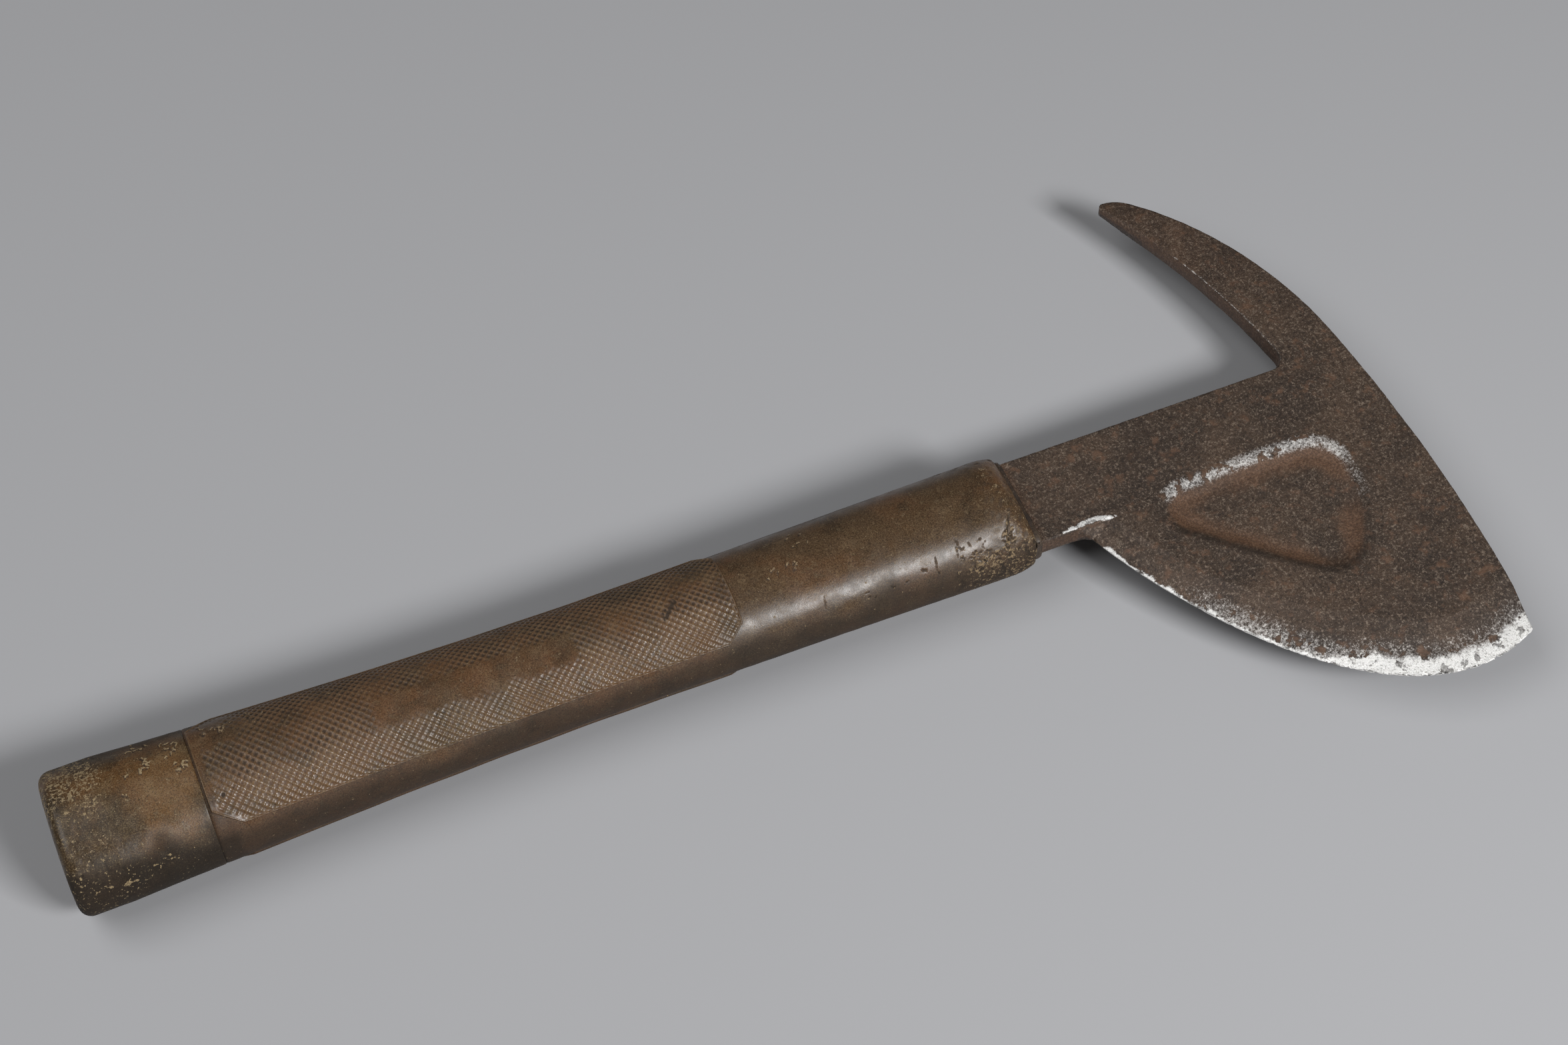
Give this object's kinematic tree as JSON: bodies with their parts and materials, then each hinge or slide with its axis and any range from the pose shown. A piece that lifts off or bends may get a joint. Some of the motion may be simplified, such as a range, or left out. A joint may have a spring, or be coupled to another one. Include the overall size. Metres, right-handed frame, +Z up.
{
  "type": "hand axe",
  "caption": "Escape hand axe: flat forged steel head with a curved ground blade, dished cheeks and a hooked pick, its tang moulded into a rubber handle with raised grip panels and a butt cap",
  "frame": {"origin": "middle of the bounding box's bottom, under the axe as it lies on its side", "axes": "+X runs from the butt to the head along the handle, +Y from the blade side to the pick side, +Z up through the head's thickness"},
  "size_m": [0.406, 0.1924, 0.0353],
  "materials": {
    "forged_steel": "brown rust patina, bare bright steel along the ground edge",
    "core_rubber": "dull dark brown hard rubber",
    "grip_rubber": "aged brown hard rubber, worn to a satin sheen",
    "butt_rubber": "aged brown hard rubber, worn to a satin sheen"
  },
  "bodies": {
    "root": {"head_forging": "forged_steel", "handle_core": "core_rubber", "grip_sleeve": "grip_rubber", "butt_cap": "butt_rubber"}
  },
  "joints": []
}
